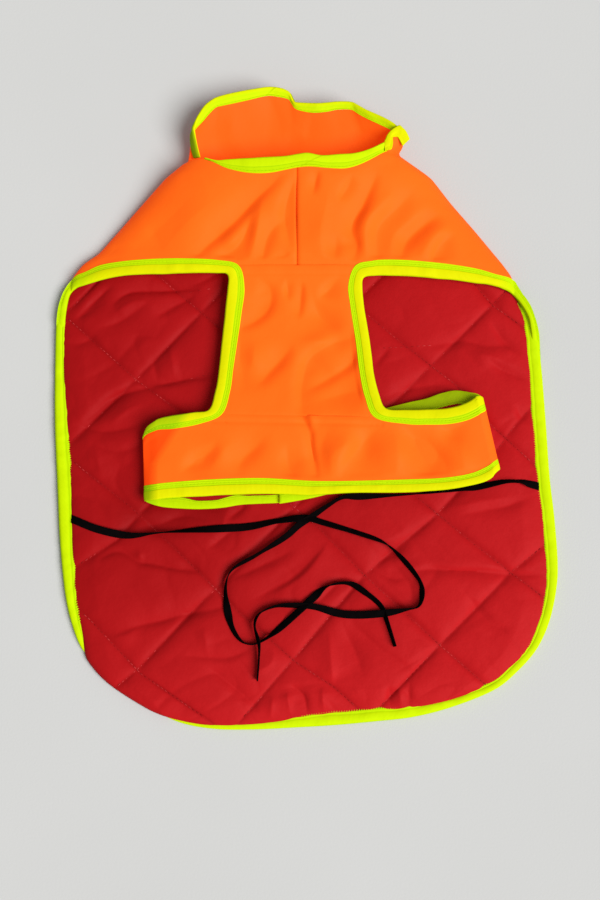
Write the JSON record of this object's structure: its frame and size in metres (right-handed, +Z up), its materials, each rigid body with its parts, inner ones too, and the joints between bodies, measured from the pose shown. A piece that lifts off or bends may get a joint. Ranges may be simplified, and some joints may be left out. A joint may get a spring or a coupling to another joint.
{
  "type": "dog winter coat",
  "caption": "Quilted winter coat for a small dog, laid flat lining up, with neck opening, chest strip, belly band loop, taped edges and flat ties at the waist.",
  "frame": {"origin": "centre of the underside of the whole coat as it lies", "axes": "+X to the right seen from above, +Y from the hem to the neck, +Z up from the surface that the coat lies on"},
  "size_m": [0.352, 0.4516, 0.0326],
  "materials": {
    "orange_nylon": "coated nylon, soft sheen",
    "red_quilt": "smooth nylon over padding, soft sheen",
    "lime_tape": "folded woven tape, matt",
    "black_tape": "flat woven tape, matt"
  },
  "bodies": {
    "root": {"back_shell": "orange_nylon", "collar_back": "orange_nylon", "yoke_left": "orange_nylon", "yoke_right": "orange_nylon", "chest_strip": "orange_nylon", "belly_band": "orange_nylon", "band_end_left": "orange_nylon", "band_end_right": "orange_nylon", "back_lining": "red_quilt", "edge_binding": "lime_tape", "leg_binding_left": "lime_tape", "leg_binding_right": "lime_tape", "band_binding": "lime_tape", "end_binding_left_upper": "lime_tape", "end_binding_left_lower": "lime_tape", "end_binding_right_upper": "lime_tape", "end_binding_right_lower": "lime_tape", "neck_binding_front": "lime_tape", "neck_binding_back": "lime_tape", "tie_left": "black_tape", "tie_right": "black_tape"}
  },
  "joints": []
}
